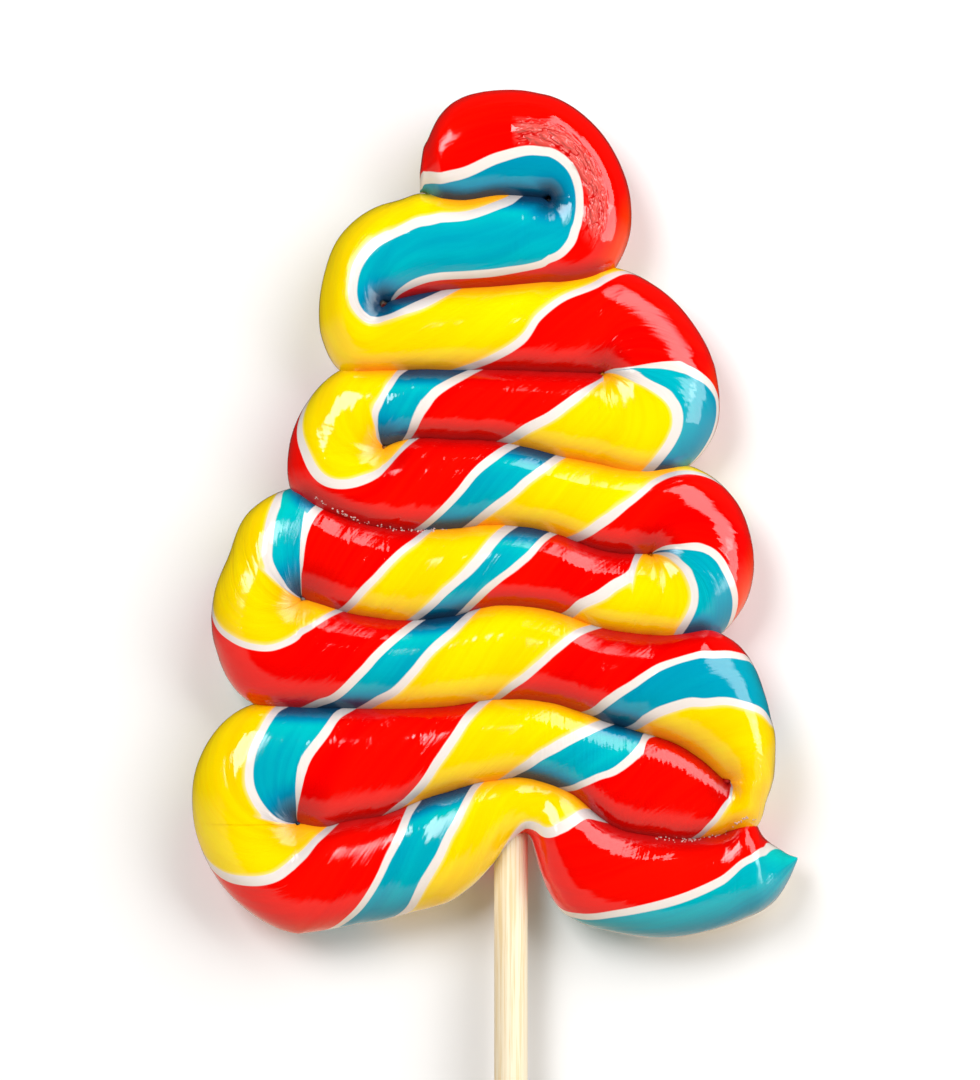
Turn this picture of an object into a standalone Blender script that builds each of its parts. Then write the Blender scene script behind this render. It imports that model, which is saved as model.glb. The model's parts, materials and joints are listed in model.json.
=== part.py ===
"""Tree lollipop lying on its back: one twisted candy rope, folded in nine rows that widen downwards
like a fir tree and are fused where they touch, on a round wooden stick.

Blender 4.5, metres, +Z up. The shown side is up, the tree's top points to +Y and the stick to -Y.
The origin is the middle of the footprint, on the surface that the lollipop lies on.
"""

import math

import bmesh
import bpy
import numpy as np
from mathutils import Vector

MM = 0.001

# Driving dimensions, in millimetres. The plan is drawn from the stick's axis (x = 0) and the place
# where the stick leaves the candy (y = 0).
STICK_DIAMETER = 4.2
STICK_INSERTED = 35.0  # how far the stick runs up into the candy
STICK_EXPOSED = 96.0
STICK_GAP = 0.3
STICK_END_ROUNDING = 0.4
STICK_SIDES = 24
MIDDLE_HEIGHT = 4.7  # the rope's middle above the surface that its flat back lies on
OVERLAP = 0.9  # how far a row reaches past its seam, into its neighbour
OVERLAP_FADE = 2.5  # length over which that reach fades out towards a notch in the outline
PINCH_RELEASE = 0.9  # how fast the rows start to overlap, for each millimetre from that point
SHOULDER = 0.93  # power of the cross-section: 1 is an ellipse, less is fuller
ROUND_END = 1.1  # at its two ends the rope is no deeper than this share of its width
RING_POINTS = 16
RING_SPACING = 2.1  # measured along the longer edge of the rope
SHARP_ANGLE = 40  # edges that bend by more than this are shaded sharp, in degrees
SAMPLES = 200  # straight lines across the rope that are worked out before rings are chosen

# Seams between neighbouring rows as (x, y) points from left to right. The first line is the top
# edge of row 1, and the last one is the lower edge of row 9. Past a notch in the outline, a seam
# goes on as the free edge of the row that reaches further out.
SEAMS = [
    [(-11.4, 84.6), (-11.1, 86.9), (-10.4, 88.7), (-9.4, 90.9), (-8.0, 92.7), (-6.4, 93.8),
     (-3.9, 94.6), (-1.4, 94.9), (1.1, 94.9), (4.6, 94.3)],
    [(-15.9, 80.6), (-13.9, 81.2), (-11.0, 82.0), (-8.9, 81.2), (-6.4, 80.8), (-1.4, 81.4),
     (4.6, 81.0)],
    [(-15.9, 67.9), (-13.9, 68.5), (-8.9, 69.5), (-1.4, 70.1), (6.1, 70.9), (13.5, 72.5)],
    [(-21.2, 59.8), (-11.4, 59.6), (-1.4, 59.6), (11.4, 59.2)],
    [(-15.8, 50.1), (-13.6, 51.0), (-7.6, 51.2), (-1.4, 50.8), (4.9, 49.3), (16.1, 47.2),
     (22.5, 47.2)],
    [(-28.1, 45.1), (-26.4, 44.6), (-20.1, 41.4), (-13.9, 39.8), (-7.6, 39.9), (-1.4, 40.3),
     (4.9, 39.5), (11.1, 37.2), (17.4, 36.7)],
    [(-26.0, 31.2), (-20.1, 29.4), (-13.9, 28.5), (-7.6, 29.0), (-1.4, 30.4), (4.9, 29.6),
     (11.1, 27.3), (17.4, 26.4), (26.4, 26.8), (28.0, 25.8), (29.3, 24.5), (30.5, 22.5),
     (31.5, 20.0), (32.3, 17.2), (32.7, 15.2)],
    [(-32.1, 17.8), (-20.1, 17.6), (-7.6, 17.9), (-1.4, 18.7), (4.9, 18.4), (11.1, 16.5),
     (23.6, 11.6), (27.0, 8.5)],
    [(-26.6, 3.2), (-23.0, 2.6), (-20.8, 3.2), (-16.4, 4.1), (-8.9, 6.9), (-1.4, 8.7), (1.1, 9.0),
     (3.6, 8.5), (7.4, 6.9), (13.0, 2.6), (17.4, 1.5), (22.4, 1.2), (26.1, 1.8), (30.6, 3.2),
     (31.4, 1.6), (32.4, 0.6), (33.6, -0.2), (34.9, -1.0), (35.9, -1.3)],
    [(-26.6, -10.8), (-21.4, -10.1), (-13.9, -8.5), (-10.1, -7.6), (-7.6, -6.8), (-5.8, -5.6),
     (-2.1, -1.9), (-0.5, 0.1), (0.7, 1.2), (2.0, 1.6), (2.6, 0.8), (3.1, -1.0), (3.8, -3.4),
     (4.9, -5.9), (6.1, -7.7), (8.0, -9.1), (12.4, -10.6), (18.6, -11.4), (22.4, -11.0),
     (29.2, -9.0), (31.8, -7.7), (33.6, -6.0), (34.9, -3.8), (35.9, -1.5)],
]

# Where each seam meets a notch in the outline, as x; even seams open to the right.
NOTCHES = [None, -10.9, 13.5, -21.2, 22.5, -28.1, 26.4, -32.1, 30.6, None]

# Folds between rows: the point that the rope turns about, and how far its outer edge is from there
# at 60, 30, 0, -30 and -60 degrees above the outward direction. Odd folds are on the right.
FOLD_ANGLES = (60, 30, 0, -30, -60)
FOLDS = [
    ((4.6, 81.0), (11.3, 10.3, 10.5, 11.5, 12.4)),
    ((-15.9, 67.9), (10.4, 8.5, 8.1, 8.9, 10.0)),
    ((11.4, 59.2), (13.0, 13.1, 14.4, 15.9, 15.2)),
    ((-15.8, 50.1), (11.2, 11.3, 11.9, 13.0, 11.4)),
    ((17.4, 36.7), (12.2, 12.7, 13.0, 13.4, 13.1)),
    ((-26.0, 31.2), (12.9, 10.8, 11.3, 12.7, 14.6)),
    ((27.0, 8.5), (8.9, 7.0, 5.8, 5.6, 7.0)),
    ((-26.6, 3.2), (15.8, 14.6, 13.0, 12.4, 12.8)),
]
CLEAR_ANGLE = 12  # the table is left out this close to the rows' own last lines, in degrees
LEFT_END, RIGHT_END = -11.4, 35.9  # x of the rope's two ends
LAST_ROW = len(FOLDS) + 1

# How far the upper end of a line across the rope leans to the right of its lower end, by the lower
# end's x. Row 7 leans into its fold, and row 9 as it climbs over the stick and down again.
LEANS = {
    7: [(-26.0, 0), (5.0, 0), (18.0, 2.0), (27.0, 5.5)],
    9: [(-26.6, 0), (-12.0, 0), (-5.8, -2.3), (-2.1, -2.6), (1.0, -0.4), (3.2, 3.8), (4.9, 5.6),
        (8.0, 5.5), (14.0, 3.6), (22.0, 1.2), (29.0, 0), (35.9, 0)],
}

# Half depth of the rope, and the lift of its middle, by place along it: row 3 runs from 2.65 to
# 3.35, and the fold between rows 3 and 4 from there to 3.65, with its outermost line at 3.5.
ROW_HALF, FOLD_MIDDLE = 0.35, 0.5
HALF_DEPTHS = [(0.6, 5.9), (7.2, 6.0), (7.5, 5.6), (7.8, 5.8), (9.4, 6.0)]
LIFTS = [(0.6, 0.0), (6.9, 0.0), (7.3, 1.3), (7.5, 0.9), (7.7, -0.2), (8.0, 0.0), (9.4, 0.0)]

# The rope leaves a narrow hole round the point that a fold turns about. By fold, its radius, and how
# high a small plug fills it, as a share of the height of the seam that ends there.
PINCHES = {1: (0.4, 0.7), 2: (0.45, 0)}
CLOSED_PINCH = (0.25, 1)
PLUG_REACH = (1.0, 0.7)  # half the plug's length along the seam, and half its width


def curve_through(points, at):
    """Height of a smooth curve through (x, y) points, read at each x in at."""
    x, y = np.array(points, float).T
    step = np.diff(x)
    slope = np.diff(y) / step
    bend = (slope[:-1] * step[1:] + slope[1:] * step[:-1]) / (step[:-1] + step[1:])
    tangent = np.concatenate(([slope[0]], bend, [slope[-1]]))
    at = np.clip(at, x[0], x[-1])
    i = np.clip(np.searchsorted(x, at) - 1, 0, len(step) - 1)
    t = (at - x[i]) / step[i]
    rise = y[i + 1] - y[i]
    ease = t * t * (3 - 2 * t)
    start = t * (1 - t) ** 2 * tangent[i]
    end = t * t * (t - 1) * tangent[i + 1]
    return y[i] + ease * rise + step[i] * (start + end)


def smooth_step(t):
    t = np.clip(t, 0, 1)
    return t * t * (3 - 2 * t)


def eased(levels, place):
    """A level that eases from each listed (place, level) to the next, with no overshoot."""
    places, values = np.array(levels, float).T
    i = np.clip(np.searchsorted(places, place) - 1, 0, len(places) - 2)
    share = smooth_step((place - places[i]) / (places[i + 1] - places[i]))
    return values[i] + share * (values[i + 1] - values[i])


def overlap_at(seam, x):
    """How far a row reaches past this seam: nothing along the free outline and at a notch."""
    if NOTCHES[seam] is None:
        return np.zeros_like(x)
    inward = 1 if seam % 2 else -1
    return OVERLAP * smooth_step((x - NOTCHES[seam]) * inward / OVERLAP_FADE)


def pinch_radius(fold):
    return PINCHES.get(fold, CLOSED_PINCH)[0]


def row_lines(row):
    """Straight lines across one row, in the rope's running order: left and right ends as seen
    along it, how far it reaches past each, and the furthest that it may reach."""
    start = FOLDS[row - 2][0][0] if row > 1 else LEFT_END
    end = FOLDS[row - 1][0][0] if row < LAST_ROW else RIGHT_END
    lower_x = np.linspace(start, end, SAMPLES)
    upper_x = lower_x + curve_through(LEANS[row], lower_x) if row in LEANS else lower_x
    upper = np.stack([upper_x, curve_through(SEAMS[row - 1], upper_x)], 1)
    lower = np.stack([lower_x, curve_through(SEAMS[row], lower_x)], 1)
    reach_up, reach_down = overlap_at(row - 1, upper_x), overlap_at(row, lower_x)
    limit_up, limit_down = reach_up.copy(), reach_down.copy()
    if row > 1:
        away = PINCH_RELEASE * np.abs(upper_x - start) - pinch_radius(row - 1)
        limit_up = np.minimum(limit_up, away)
    if row < LAST_ROW:
        away = PINCH_RELEASE * np.abs(lower_x - end) - pinch_radius(row)
        limit_down = np.minimum(limit_down, away)
    place = np.linspace(row - ROW_HALF, row + ROW_HALF, SAMPLES)
    if row % 2:
        return upper, lower, reach_up, reach_down, limit_up, limit_down, place
    return lower, upper, reach_down, reach_up, limit_down, limit_up, place


def angle_of(line, side):
    """Angle of a line across the rope above the outward direction of a fold, in degrees."""
    across = line * (side, 1)
    return math.degrees(math.atan2(across[1], across[0]))


def fold_lines(fold, before, after, half):
    """Lines across one half of a fold, from the last line of the row before it to its outermost
    point, or from there to the first line of the row after it."""
    pinch, radii = FOLDS[fold - 1]
    pinch, side = np.array(pinch), 1 if fold % 2 else -1
    outer, inner = (0, 1) if side > 0 else (1, 0)
    ends = []
    for lines, i in ((before, -1), (after, 0)):
        across = lines[outer][i] - lines[inner][i]
        length = np.linalg.norm(across)
        ends.append((angle_of(across, side), length + lines[2 + outer][i]))
    (first, first_radius), (last, last_radius) = ends
    low, high = last + CLEAR_ANGLE, first - CLEAR_ANGLE
    middle = [(a, r) for a, r in zip(FOLD_ANGLES, radii) if low < a < high]
    table = sorted([(last, last_radius), *middle, (first, first_radius)])
    angle = np.linspace(first, 0, SAMPLES) if half == 1 else np.linspace(0, last, SAMPLES)
    radius = curve_through(table, angle)
    turn = np.radians(angle)
    direction = np.stack([side * np.cos(turn), np.sin(turn)], 1)
    far = pinch + radius[:, None] * direction
    near = np.repeat(pinch[None], SAMPLES, 0)
    none, reach = np.zeros(SAMPLES), np.full(SAMPLES, OVERLAP)
    stop = np.full(SAMPLES, -pinch_radius(fold))
    begin, finish = (ROW_HALF, FOLD_MIDDLE) if half == 1 else (FOLD_MIDDLE, 1 - ROW_HALF)
    place = fold + np.linspace(begin, finish, SAMPLES)
    if side > 0:
        return far, near, none, reach, none, stop, place
    return near, far, reach, none, stop, none, place


def piece_lines(row):
    """Lines across row `row` with its half of the fold on each side."""
    own = row_lines(row)
    parts = [own]
    if row > 1:
        parts.insert(0, fold_lines(row - 1, row_lines(row - 1), own, 2))
    if row < LAST_ROW:
        parts.append(fold_lines(row, own, row_lines(row + 1), 1))
    return [np.concatenate(values) for values in zip(*parts)]


def resampled(lines, spacing):
    """The same lines at an even spacing along whichever edge of the rope is longer there."""
    left, right = lines[0], lines[1]
    step = np.maximum(
        np.linalg.norm(np.diff(left, axis=0), axis=1), np.linalg.norm(np.diff(right, axis=0), axis=1)
    )
    along = np.concatenate(([0], np.cumsum(step)))
    count = max(2, round(along[-1] / spacing) + 1)
    wanted = np.linspace(0, along[-1], count)
    result = []
    for values in lines:
        columns = values.reshape(len(values), -1).T
        new = np.stack([np.interp(wanted, along, column) for column in columns], 1)
        result.append(new if values.ndim > 1 else new[:, 0])
    return result


def rings(row, spacing, angles):
    """Cross-sections of a row, as an array of points: ring, point round it, x, y and z. The angle
    runs from the rope's left edge over its top to its right edge, and back below."""
    left, right, reach_l, reach_r, limit_l, limit_r, place = resampled(piece_lines(row), spacing)
    across = left - right
    length = np.linalg.norm(across, axis=1)
    direction = across / length[:, None]
    half_width = (length + reach_l + reach_r) / 2
    middle = (length + reach_l - reach_r) / 2
    half_depth = eased(HALF_DEPTHS, place)
    if row in (1, LAST_ROW):
        half_depth = np.minimum(half_depth, ROUND_END * half_width)
    cos, sin = np.cos(angles), np.sin(angles)
    wide = np.sign(cos) * np.abs(cos) ** SHOULDER
    high = np.sign(sin) * np.abs(sin) ** SHOULDER
    offset = middle[:, None] + half_width[:, None] * wide
    offset = np.clip(offset, -limit_r[:, None], (length + limit_l)[:, None])
    plan = right[:, None, :] + offset[..., None] * direction[:, None, :]
    height = MIDDLE_HEIGHT + eased(LIFTS, place)[:, None] + half_depth[:, None] * high
    return np.concatenate([plan, np.maximum(height, 0)[..., None]], 2)


def material(name, colour, roughness):
    made = bpy.data.materials.new(name)
    made.use_nodes = True
    shader = made.node_tree.nodes["Principled BSDF"]
    shader.inputs["Base Color"].default_value = (*colour, 1)
    shader.inputs["Roughness"].default_value = roughness
    shader.inputs["Metallic"].default_value = 0
    return made


def new_object(name, mesh, collection):
    made = bpy.data.objects.new(name, mesh)
    collection.objects.link(made)
    return made


def rope_piece(row, collection):
    """One row of the rope as a closed tube."""
    angles = np.arange(RING_POINTS) * 2 * np.pi / RING_POINTS
    points = rings(row, RING_SPACING, angles)
    count = len(points)
    index = np.arange(count * RING_POINTS).reshape(count, RING_POINTS)
    faces = [tuple(index[0, ::-1]), tuple(index[-1])]
    for i in range(count - 1):
        for j in range(RING_POINTS):
            k = (j + 1) % RING_POINTS
            faces.append((index[i, j], index[i, k], index[i + 1, k], index[i + 1, j]))
    mesh = bpy.data.meshes.new(f"row_{row}")
    mesh.from_pydata(points.reshape(-1, 3) * MM, [], faces)
    return new_object(f"row_{row}", mesh, collection)


def seam_height(fold):
    """Height of the rope's inner side above its middle, at the outermost line of a fold."""
    radius = FOLDS[fold - 1][1][2]
    share = (radius - OVERLAP) / (radius + OVERLAP)
    angle = math.acos(share ** (1 / SHOULDER))
    return float(eased(HALF_DEPTHS, fold + FOLD_MIDDLE)) * math.sin(angle) ** SHOULDER


def pinch_plug(fold, fill, collection):
    """A small ellipsoid that fills the rope round the point that a fold turns about."""
    (x, y), _ = FOLDS[fold - 1]
    size = (*PLUG_REACH, fill * seam_height(fold))
    middle = MIDDLE_HEIGHT + float(eased(LIFTS, fold + FOLD_MIDDLE))
    bm = bmesh.new()
    bmesh.ops.create_icosphere(bm, subdivisions=2, radius=1)
    for vertex in bm.verts:
        vertex.co = (Vector((x, y, middle)) + vertex.co * Vector(size)) * MM
    mesh = bpy.data.meshes.new(f"plug_{fold}")
    bm.to_mesh(mesh)
    bm.free()
    return new_object(f"plug_{fold}", mesh, collection)


def joined(first, others):
    """The union of one object with a collection of them, as a new mesh."""
    union = first.modifiers.new("union", "BOOLEAN")
    union.operation = "UNION"
    union.operand_type = "COLLECTION"
    union.collection = others
    union.solver = "MANIFOLD"
    evaluated = first.evaluated_get(bpy.context.evaluated_depsgraph_get())
    return bpy.data.meshes.new_from_object(evaluated)


def make_candy():
    """The whole rope, fused from its nine rows and the plugs in their folds."""
    rest = bpy.data.collections.new("rows")
    bpy.context.scene.collection.children.link(rest)
    first = rope_piece(1, bpy.context.scene.collection)
    for row in range(2, LAST_ROW + 1):
        rope_piece(row, rest)
    for fold in range(1, LAST_ROW):
        fill = PINCHES.get(fold, CLOSED_PINCH)[1]
        if fill:
            pinch_plug(fold, fill, rest)
    mesh = joined(first, rest)
    for piece in (first, *rest.objects):
        bpy.data.objects.remove(piece)
    bpy.data.collections.remove(rest)
    mesh.name = "candy"
    mesh.shade_smooth()
    mesh.set_sharp_from_angle(angle=math.radians(SHARP_ANGLE))
    return new_object("candy", mesh, bpy.context.scene.collection)


def rod(name, radius, low, high, rounding):
    """A round rod along Y with rounded rims."""
    bm = bmesh.new()
    length = (high - low) * MM
    bmesh.ops.create_cone(bm, cap_ends=True, segments=STICK_SIDES, radius1=radius * MM,
                          radius2=radius * MM, depth=length)
    if rounding:
        rims = [e for e in bm.edges if abs(e.verts[0].co.z - e.verts[1].co.z) < length / 2]
        bmesh.ops.bevel(bm, geom=rims, offset=rounding * MM, segments=2, affect="EDGES",
                        profile=0.5)
    mesh = bpy.data.meshes.new(name)
    bm.to_mesh(mesh)
    bm.free()
    made = new_object(name, mesh, bpy.context.scene.collection)
    made.rotation_euler = (-math.pi / 2, 0, 0)
    made.location = Vector((0, (low + high) / 2, MIDDLE_HEIGHT)) * MM
    return made


def main():
    for old in list(bpy.data.objects):
        bpy.data.objects.remove(old)

    candy = make_candy()
    candy.data.materials.clear()
    candy.data.materials.append(material("candy", (0.90, 0.05, 0.02), 0.15))

    radius = STICK_DIAMETER / 2
    stick = rod("stick", radius, -STICK_EXPOSED, STICK_INSERTED, STICK_END_ROUNDING)
    stick.data.materials.append(material("wood", (0.87, 0.76, 0.58), 0.6))
    stick.data.shade_smooth()
    stick.data.set_sharp_from_angle(angle=math.radians(SHARP_ANGLE))

    hole = rod("stick_hole", radius + STICK_GAP, -STICK_EXPOSED, STICK_INSERTED + STICK_GAP, 0)
    hole.hide_render = True
    hole.display_type = "WIRE"
    cut = candy.modifiers.new("stick_hole", "BOOLEAN")
    cut.operation = "DIFFERENCE"
    cut.object = hole

    # The footprint's middle becomes the origin.
    points = [v.co for v in candy.data.vertices]
    low_x, high_x = min(p.x for p in points), max(p.x for p in points)
    top = max(p.y for p in points)
    whole = bpy.data.objects.new("lollipop", None)
    bpy.context.scene.collection.objects.link(whole)
    for piece in (candy, stick, hole):
        piece.parent = whole
    whole.location = (-(low_x + high_x) / 2, -(top - STICK_EXPOSED * MM) / 2, 0)


main()
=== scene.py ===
"""Looks of the tree lollipop: the twisted candy rope in fine mesh with its red, teal and yellow
stripes and white lines, grains of dry sugar, the wooden stick's grain, and a pale studio seen from
straight above."""

import json
import math
import random

import bmesh
import bpy
import numpy as np
from mathutils import Euler, Matrix, Vector, noise
from mathutils.bvhtree import BVHTree

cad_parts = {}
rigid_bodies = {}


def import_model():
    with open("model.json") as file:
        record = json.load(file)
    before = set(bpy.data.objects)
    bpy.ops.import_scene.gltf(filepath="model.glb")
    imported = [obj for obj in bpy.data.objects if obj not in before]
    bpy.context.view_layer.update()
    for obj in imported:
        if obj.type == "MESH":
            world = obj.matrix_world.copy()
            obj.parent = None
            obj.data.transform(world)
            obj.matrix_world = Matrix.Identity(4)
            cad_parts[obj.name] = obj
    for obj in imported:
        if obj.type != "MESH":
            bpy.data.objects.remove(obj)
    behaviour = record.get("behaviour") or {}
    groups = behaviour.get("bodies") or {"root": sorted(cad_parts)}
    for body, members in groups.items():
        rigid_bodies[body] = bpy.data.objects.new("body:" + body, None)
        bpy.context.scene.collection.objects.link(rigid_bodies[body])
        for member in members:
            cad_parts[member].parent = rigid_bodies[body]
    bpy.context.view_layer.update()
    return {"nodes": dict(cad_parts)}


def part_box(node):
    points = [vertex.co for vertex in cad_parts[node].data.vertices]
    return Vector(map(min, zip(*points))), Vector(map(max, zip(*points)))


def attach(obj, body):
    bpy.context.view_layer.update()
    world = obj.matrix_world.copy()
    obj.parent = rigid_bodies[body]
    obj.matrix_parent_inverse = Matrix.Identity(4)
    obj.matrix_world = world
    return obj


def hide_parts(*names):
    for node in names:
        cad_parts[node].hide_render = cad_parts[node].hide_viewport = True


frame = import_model()

MM = 0.001  # metres
TURN = 2 * math.pi
TINY = 1e-9  # keeps divisions away from zero

# Driving dimensions, in millimetres. The plan is drawn from the stick's axis (x = 0) and the place
# where the stick leaves the candy (y = 0).
STICK_EXPOSED = 96.0  # the stick's length outside the candy
MIDDLE_HEIGHT = 4.7  # the rope's middle above the surface that its flat back lies on
OVERLAP = 0.9  # how far a row reaches past its seam, into its neighbour
OVERLAP_FADE = 2.5  # length over which that reach fades out towards a notch in the outline
PINCH_RELEASE = 0.9  # most reach past a seam for each millimetre from where a fold turns
SHOULDER = 0.93  # power of the cross-section: 1 is an ellipse, less is fuller
ROUND_END = 1.1  # at its two ends the rope is no deeper than this share of its width
EASING = 8.0  # power that eases the smaller of two sizes: more is a sharper corner
SHARP_ANGLE = 40  # edges that bend by more than this are shaded sharp, in degrees
SAMPLES = 200  # straight lines across the rope that are worked out before rings are chosen

# The picture, in metres: its middle and height on the level of the candy's middle.
VIEW_MIDDLE = (-0.00064, 0.03903)
VIEW_HEIGHT = 0.135
LENS, SENSOR_WIDTH = 150, 36  # millimetres
CLIP = (0.01, 20)  # metres

# Seams between neighbouring rows as (x, y) points from left to right. The first line is the top
# edge of row 1, and the last one is the lower edge of row 9. Past a notch in the outline, a seam
# goes on as the free edge of the row that reaches further out.
SEAMS = [
    [(-11.4, 84.6), (-11.1, 86.9), (-10.4, 88.7), (-9.4, 90.9), (-8.0, 92.7), (-6.4, 93.8),
     (-3.9, 94.6), (-1.4, 94.9), (1.1, 94.9), (4.6, 94.3)],
    [(-15.9, 80.6), (-13.9, 81.2), (-11.0, 82.0), (-8.9, 81.2), (-6.4, 80.8), (-1.4, 81.4),
     (4.6, 81.0)],
    [(-15.9, 67.9), (-13.9, 68.5), (-8.9, 69.5), (-1.4, 70.1), (6.1, 70.9), (13.5, 72.5)],
    [(-21.2, 59.8), (-11.4, 59.6), (-1.4, 59.6), (11.4, 59.2)],
    [(-15.8, 50.1), (-13.6, 51.0), (-7.6, 51.2), (-1.4, 50.8), (4.9, 49.3), (16.1, 47.2),
     (22.5, 47.2)],
    [(-28.1, 45.1), (-26.4, 44.6), (-20.1, 41.4), (-13.9, 39.8), (-7.6, 39.9), (-1.4, 40.3),
     (4.9, 39.5), (11.1, 37.2), (17.4, 36.7)],
    [(-26.0, 31.2), (-20.1, 29.4), (-13.9, 28.5), (-7.6, 29.0), (-1.4, 30.4), (4.9, 29.6),
     (11.1, 27.3), (17.4, 26.4), (26.4, 26.8), (28.0, 25.8), (29.3, 24.5), (30.5, 22.5),
     (31.5, 20.0), (32.3, 17.2), (32.7, 15.2)],
    [(-32.1, 17.8), (-20.1, 17.6), (-7.6, 17.9), (-1.4, 18.7), (4.9, 18.4), (11.1, 16.5),
     (23.6, 11.6), (27.0, 8.5)],
    [(-26.6, 3.2), (-23.0, 2.6), (-20.8, 3.2), (-16.4, 4.1), (-8.9, 6.9), (-1.4, 8.7), (1.1, 9.0),
     (3.6, 8.5), (7.4, 6.9), (13.0, 2.6), (17.4, 1.5), (22.4, 1.2), (26.1, 1.8), (30.6, 3.2),
     (31.4, 1.6), (32.4, 0.6), (33.6, -0.2), (34.9, -1.0), (35.9, -1.3)],
    [(-26.6, -10.8), (-21.4, -10.1), (-13.9, -8.5), (-10.1, -7.6), (-7.6, -6.8), (-5.8, -5.6),
     (-2.1, -1.9), (-0.5, 0.1), (0.7, 1.2), (2.0, 1.6), (2.6, 0.8), (3.1, -1.0), (3.8, -3.4),
     (4.9, -5.9), (6.1, -7.7), (8.0, -9.1), (12.4, -10.6), (18.6, -11.4), (22.4, -11.0),
     (29.2, -9.0), (31.8, -7.7), (33.6, -6.0), (34.9, -3.8), (35.9, -1.5)],
]

# Where each seam meets a notch in the outline, as x; even seams open to the right.
NOTCHES = [None, -10.9, 13.5, -21.2, 22.5, -28.1, 26.4, -32.1, 30.6, None]

# Folds between rows: the point that the rope turns about, and how far its outer edge is from there
# at 60, 30, 0, -30 and -60 degrees above the outward direction. Odd folds are on the right.
FOLD_ANGLES = (60, 30, 0, -30, -60)
FOLDS = [
    ((4.6, 81.0), (11.3, 10.3, 10.5, 11.5, 12.4)),
    ((-15.9, 67.9), (10.4, 8.5, 8.1, 8.9, 10.0)),
    ((11.4, 59.2), (13.0, 13.1, 14.4, 15.9, 15.2)),
    ((-15.8, 50.1), (11.2, 11.3, 11.9, 13.0, 11.4)),
    ((17.4, 36.7), (12.2, 12.7, 13.0, 13.4, 13.1)),
    ((-26.0, 31.2), (12.9, 10.8, 11.3, 12.7, 14.6)),
    ((27.0, 8.5), (8.9, 7.0, 5.8, 5.6, 7.0)),
    ((-26.6, 3.2), (15.8, 14.6, 13.0, 12.4, 12.8)),
]
CLEAR_ANGLE = 12  # a listed size this close to the rows' own last lines is left out, in degrees
LEFT_END, RIGHT_END = -11.4, 35.9  # x of the rope's two ends
LAST_ROW = len(FOLDS) + 1

# How far the upper end of a line across the rope leans to the right of its lower end, by the lower
# end's x. Row 7 leans into its fold, and row 9 as it climbs over the stick and down again.
LEANS = {
    7: [(-26.0, 0), (5.0, 0), (18.0, 2.0), (27.0, 5.5)],
    9: [(-26.6, 0), (-12.0, 0), (-5.8, -2.3), (-2.1, -2.6), (1.0, -0.4), (3.2, 3.8), (4.9, 5.6),
        (8.0, 5.5), (14.0, 3.6), (22.0, 1.2), (29.0, 0), (35.9, 0)],
}

# Half depth of the rope, and the lift of its middle, by place along it: row 3 runs from 2.65 to
# 3.35, and the fold between rows 3 and 4 from there to 3.65, with its outermost line at 3.5.
ROW_HALF, FOLD_MIDDLE = 0.35, 0.5
HALF_DEPTHS = [(0.6, 5.9), (7.2, 6.0), (7.5, 5.6), (7.8, 5.8), (9.4, 6.0)]
LIFTS = [(0.6, 0.0), (6.9, 0.0), (7.3, 1.3), (7.5, 0.9), (7.7, -0.2), (8.0, 0.0), (9.4, 0.0)]

# The rope leaves a narrow hole round the point that a fold turns about. By fold, its radius, and
# how high a small plug fills it, as a share of the height of the seam that ends there.
PINCHES = {1: (0.4, 0.7), 2: (0.45, 0)}
CLOSED_PINCH = (0.25, 1)
PLUG_REACH = (1.0, 0.7)  # half the plug's length along the seam, and half its width
PLUG_DETAIL = 3  # level of its round mesh


def smooth_step(t):
    t = np.clip(t, 0, 1)
    return t * t * (3 - 2 * t)


def curve_with(x, y, tangent, at):
    """Height of a smooth curve through points with the given tangents, read at each x in at."""
    step = np.diff(x)
    at = np.clip(at, x[0], x[-1])
    i = np.clip(np.searchsorted(x, at) - 1, 0, len(step) - 1)
    t = (at - x[i]) / step[i]
    start = t * (1 - t) ** 2 * tangent[i]
    end = t * t * (t - 1) * tangent[i + 1]
    return y[i] + smooth_step(t) * (y[i + 1] - y[i]) + step[i] * (start + end)


def curve_through(points, at):
    """Height of a smooth curve through (x, y) points, read at each x in at."""
    x, y = np.array(points, float).T
    step = np.diff(x)
    slope = np.diff(y) / step
    bend = (slope[:-1] * step[1:] + slope[1:] * step[:-1]) / (step[:-1] + step[1:])
    return curve_with(x, y, np.concatenate(([slope[0]], bend, [slope[-1]])), at)


def eased(levels, place):
    """A level that eases from each listed (place, level) to the next, with no overshoot."""
    places, values = np.array(levels, float).T
    i = np.clip(np.searchsorted(places, place) - 1, 0, len(places) - 2)
    share = smooth_step((place - places[i]) / (places[i + 1] - places[i]))
    return values[i] + share * (values[i + 1] - values[i])


def softer_minimum(a, b):
    """The smaller of two sizes, eased where they cross."""
    return (a ** -EASING + b ** -EASING) ** (-1 / EASING)


def overlap_at(seam, x):
    """How far a row reaches past this seam: nothing along the free outline and at a notch."""
    if NOTCHES[seam] is None:
        return np.zeros_like(x)
    inward = 1 if seam % 2 else -1
    return OVERLAP * smooth_step((x - NOTCHES[seam]) * inward / OVERLAP_FADE)


def pinch_radius(fold):
    return PINCHES.get(fold, CLOSED_PINCH)[0]


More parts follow.
